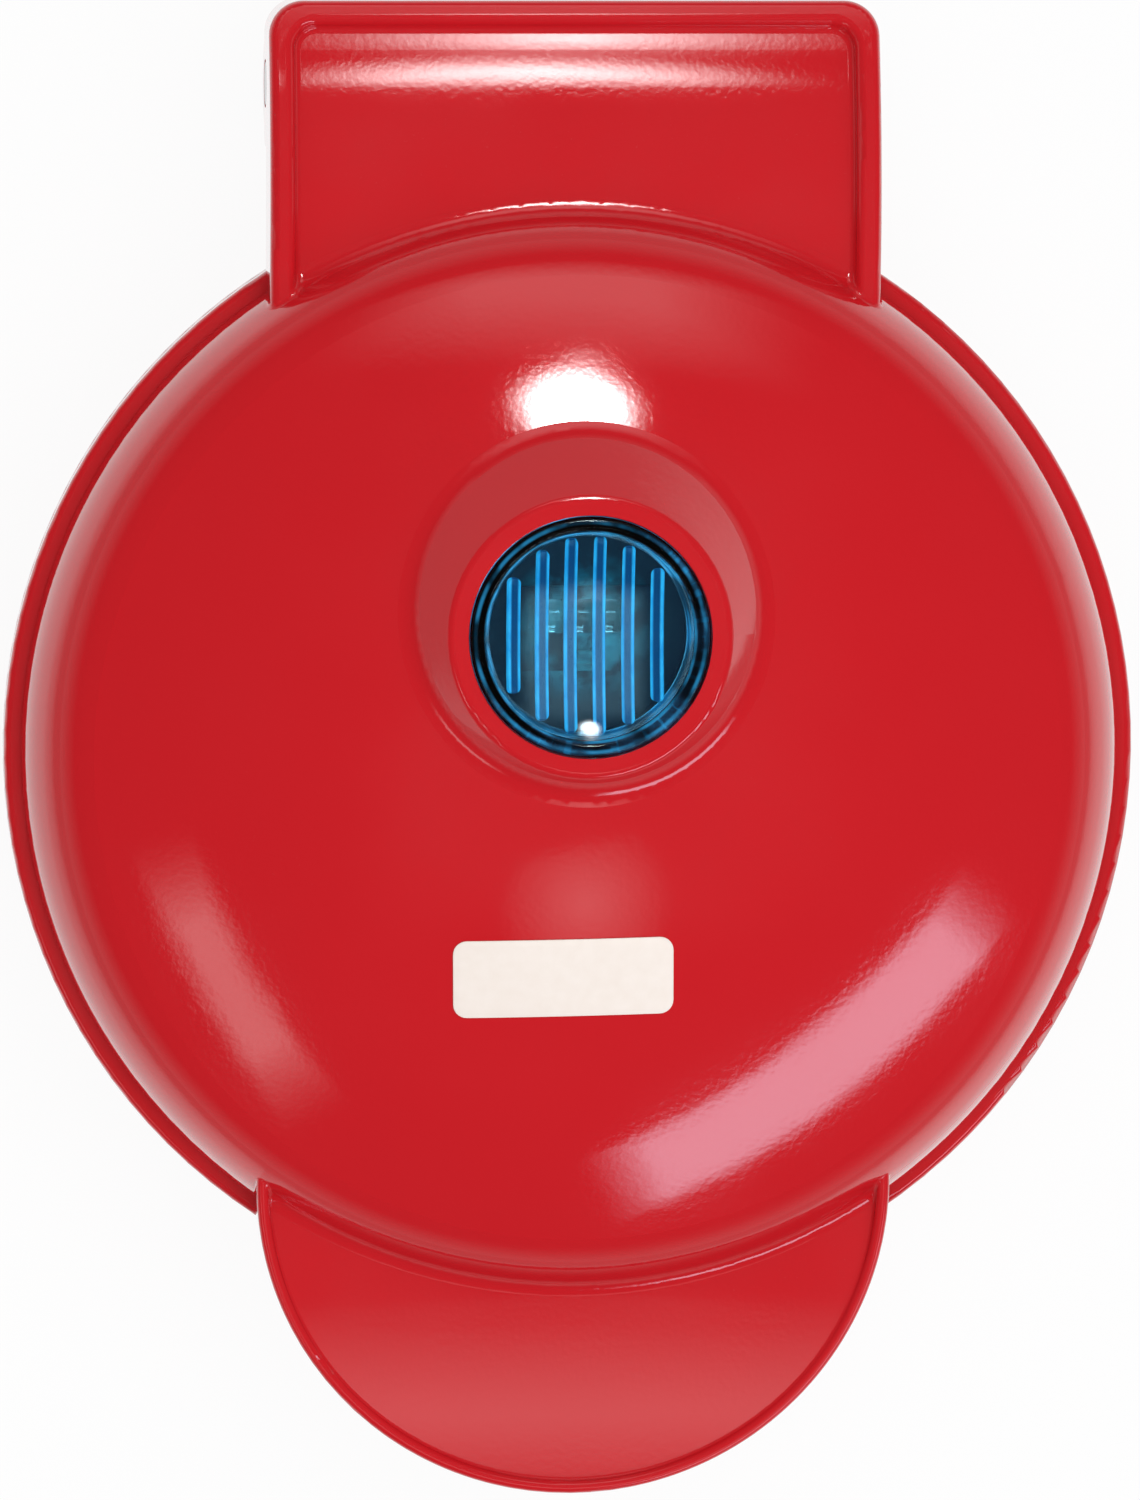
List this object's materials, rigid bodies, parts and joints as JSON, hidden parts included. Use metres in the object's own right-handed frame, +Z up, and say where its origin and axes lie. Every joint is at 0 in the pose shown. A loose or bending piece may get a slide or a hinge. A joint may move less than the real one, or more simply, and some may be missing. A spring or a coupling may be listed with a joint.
{
  "type": "donut maker",
  "caption": "Round table-top donut maker: a hinged domed lid with a ribbed indicator lens and a tongue grip closes over ring-shaped mould plates in a bowl-shaped base.",
  "frame": {"origin": "on the table under the middle of the whole length and width", "axes": "+X to the right seen from the grip, +Y from the grip to the hinge, +Z up"},
  "size_m": [0.2, 0.264, 0.0937],
  "materials": {
    "red_shell": "high gloss red moulding",
    "dark_liner": "black heat-proof moulding",
    "nonstick": "cast, black non-stick coating",
    "heater_steel": "oxidised tube",
    "insulator": "off-white insulator",
    "reflector": "bright pressed sheet",
    "lens": "clear blue moulding",
    "dark_plastic": "black moulding",
    "board": "paper laminate board",
    "lamp_glass": "clear glass capsule",
    "fuse_body": "plain coated can",
    "screw_steel": "zinc plated",
    "pin_steel": "turned",
    "terminal_brass": "plain",
    "rubber": "matte black"
  },
  "bodies": {
    "base": {"base_shell": "red_shell", "base_liner": "dark_liner", "base_screws": "screw_steel", "base_grip_cover": "red_shell", "base_grip_screws": "screw_steel", "lower_plate": "nonstick", "lower_plate_screws": "screw_steel", "lower_heater": "heater_steel", "lower_heater_bushes": "insulator", "lower_reflector": "reflector", "thermostat": "dark_plastic", "thermal_fuse": "fuse_body", "fuse_clip": "screw_steel", "terminal_block": "insulator", "terminal_screws": "terminal_brass", "cord_gland": "rubber", "foot_front_left": "rubber", "foot_front_right": "rubber", "foot_rear_left": "rubber", "foot_rear_right": "rubber"},
    "lid": {"lid_shell": "red_shell", "lid_liner": "dark_liner", "lid_screws": "screw_steel", "lid_grip_cover": "red_shell", "lid_grip_screws": "screw_steel", "upper_plate": "nonstick", "upper_plate_screws": "screw_steel", "upper_heater": "heater_steel", "upper_heater_bushes": "insulator", "upper_reflector": "reflector", "indicator_lens": "lens", "lamp_cup": "dark_plastic", "lamp_cup_screws": "screw_steel", "lamp_board": "board", "indicator_lamp": "lamp_glass", "hinge_pin_right": "pin_steel", "hinge_pin_left": "pin_steel"}
  },
  "joints": [
    {"name": "lid_hinge", "type": "hinge", "parent": "base", "child": "lid", "pos_m": [0, 0.117, 0.0435], "axis": [-1, 0, 0], "range_deg": [0, 105]}
  ]
}
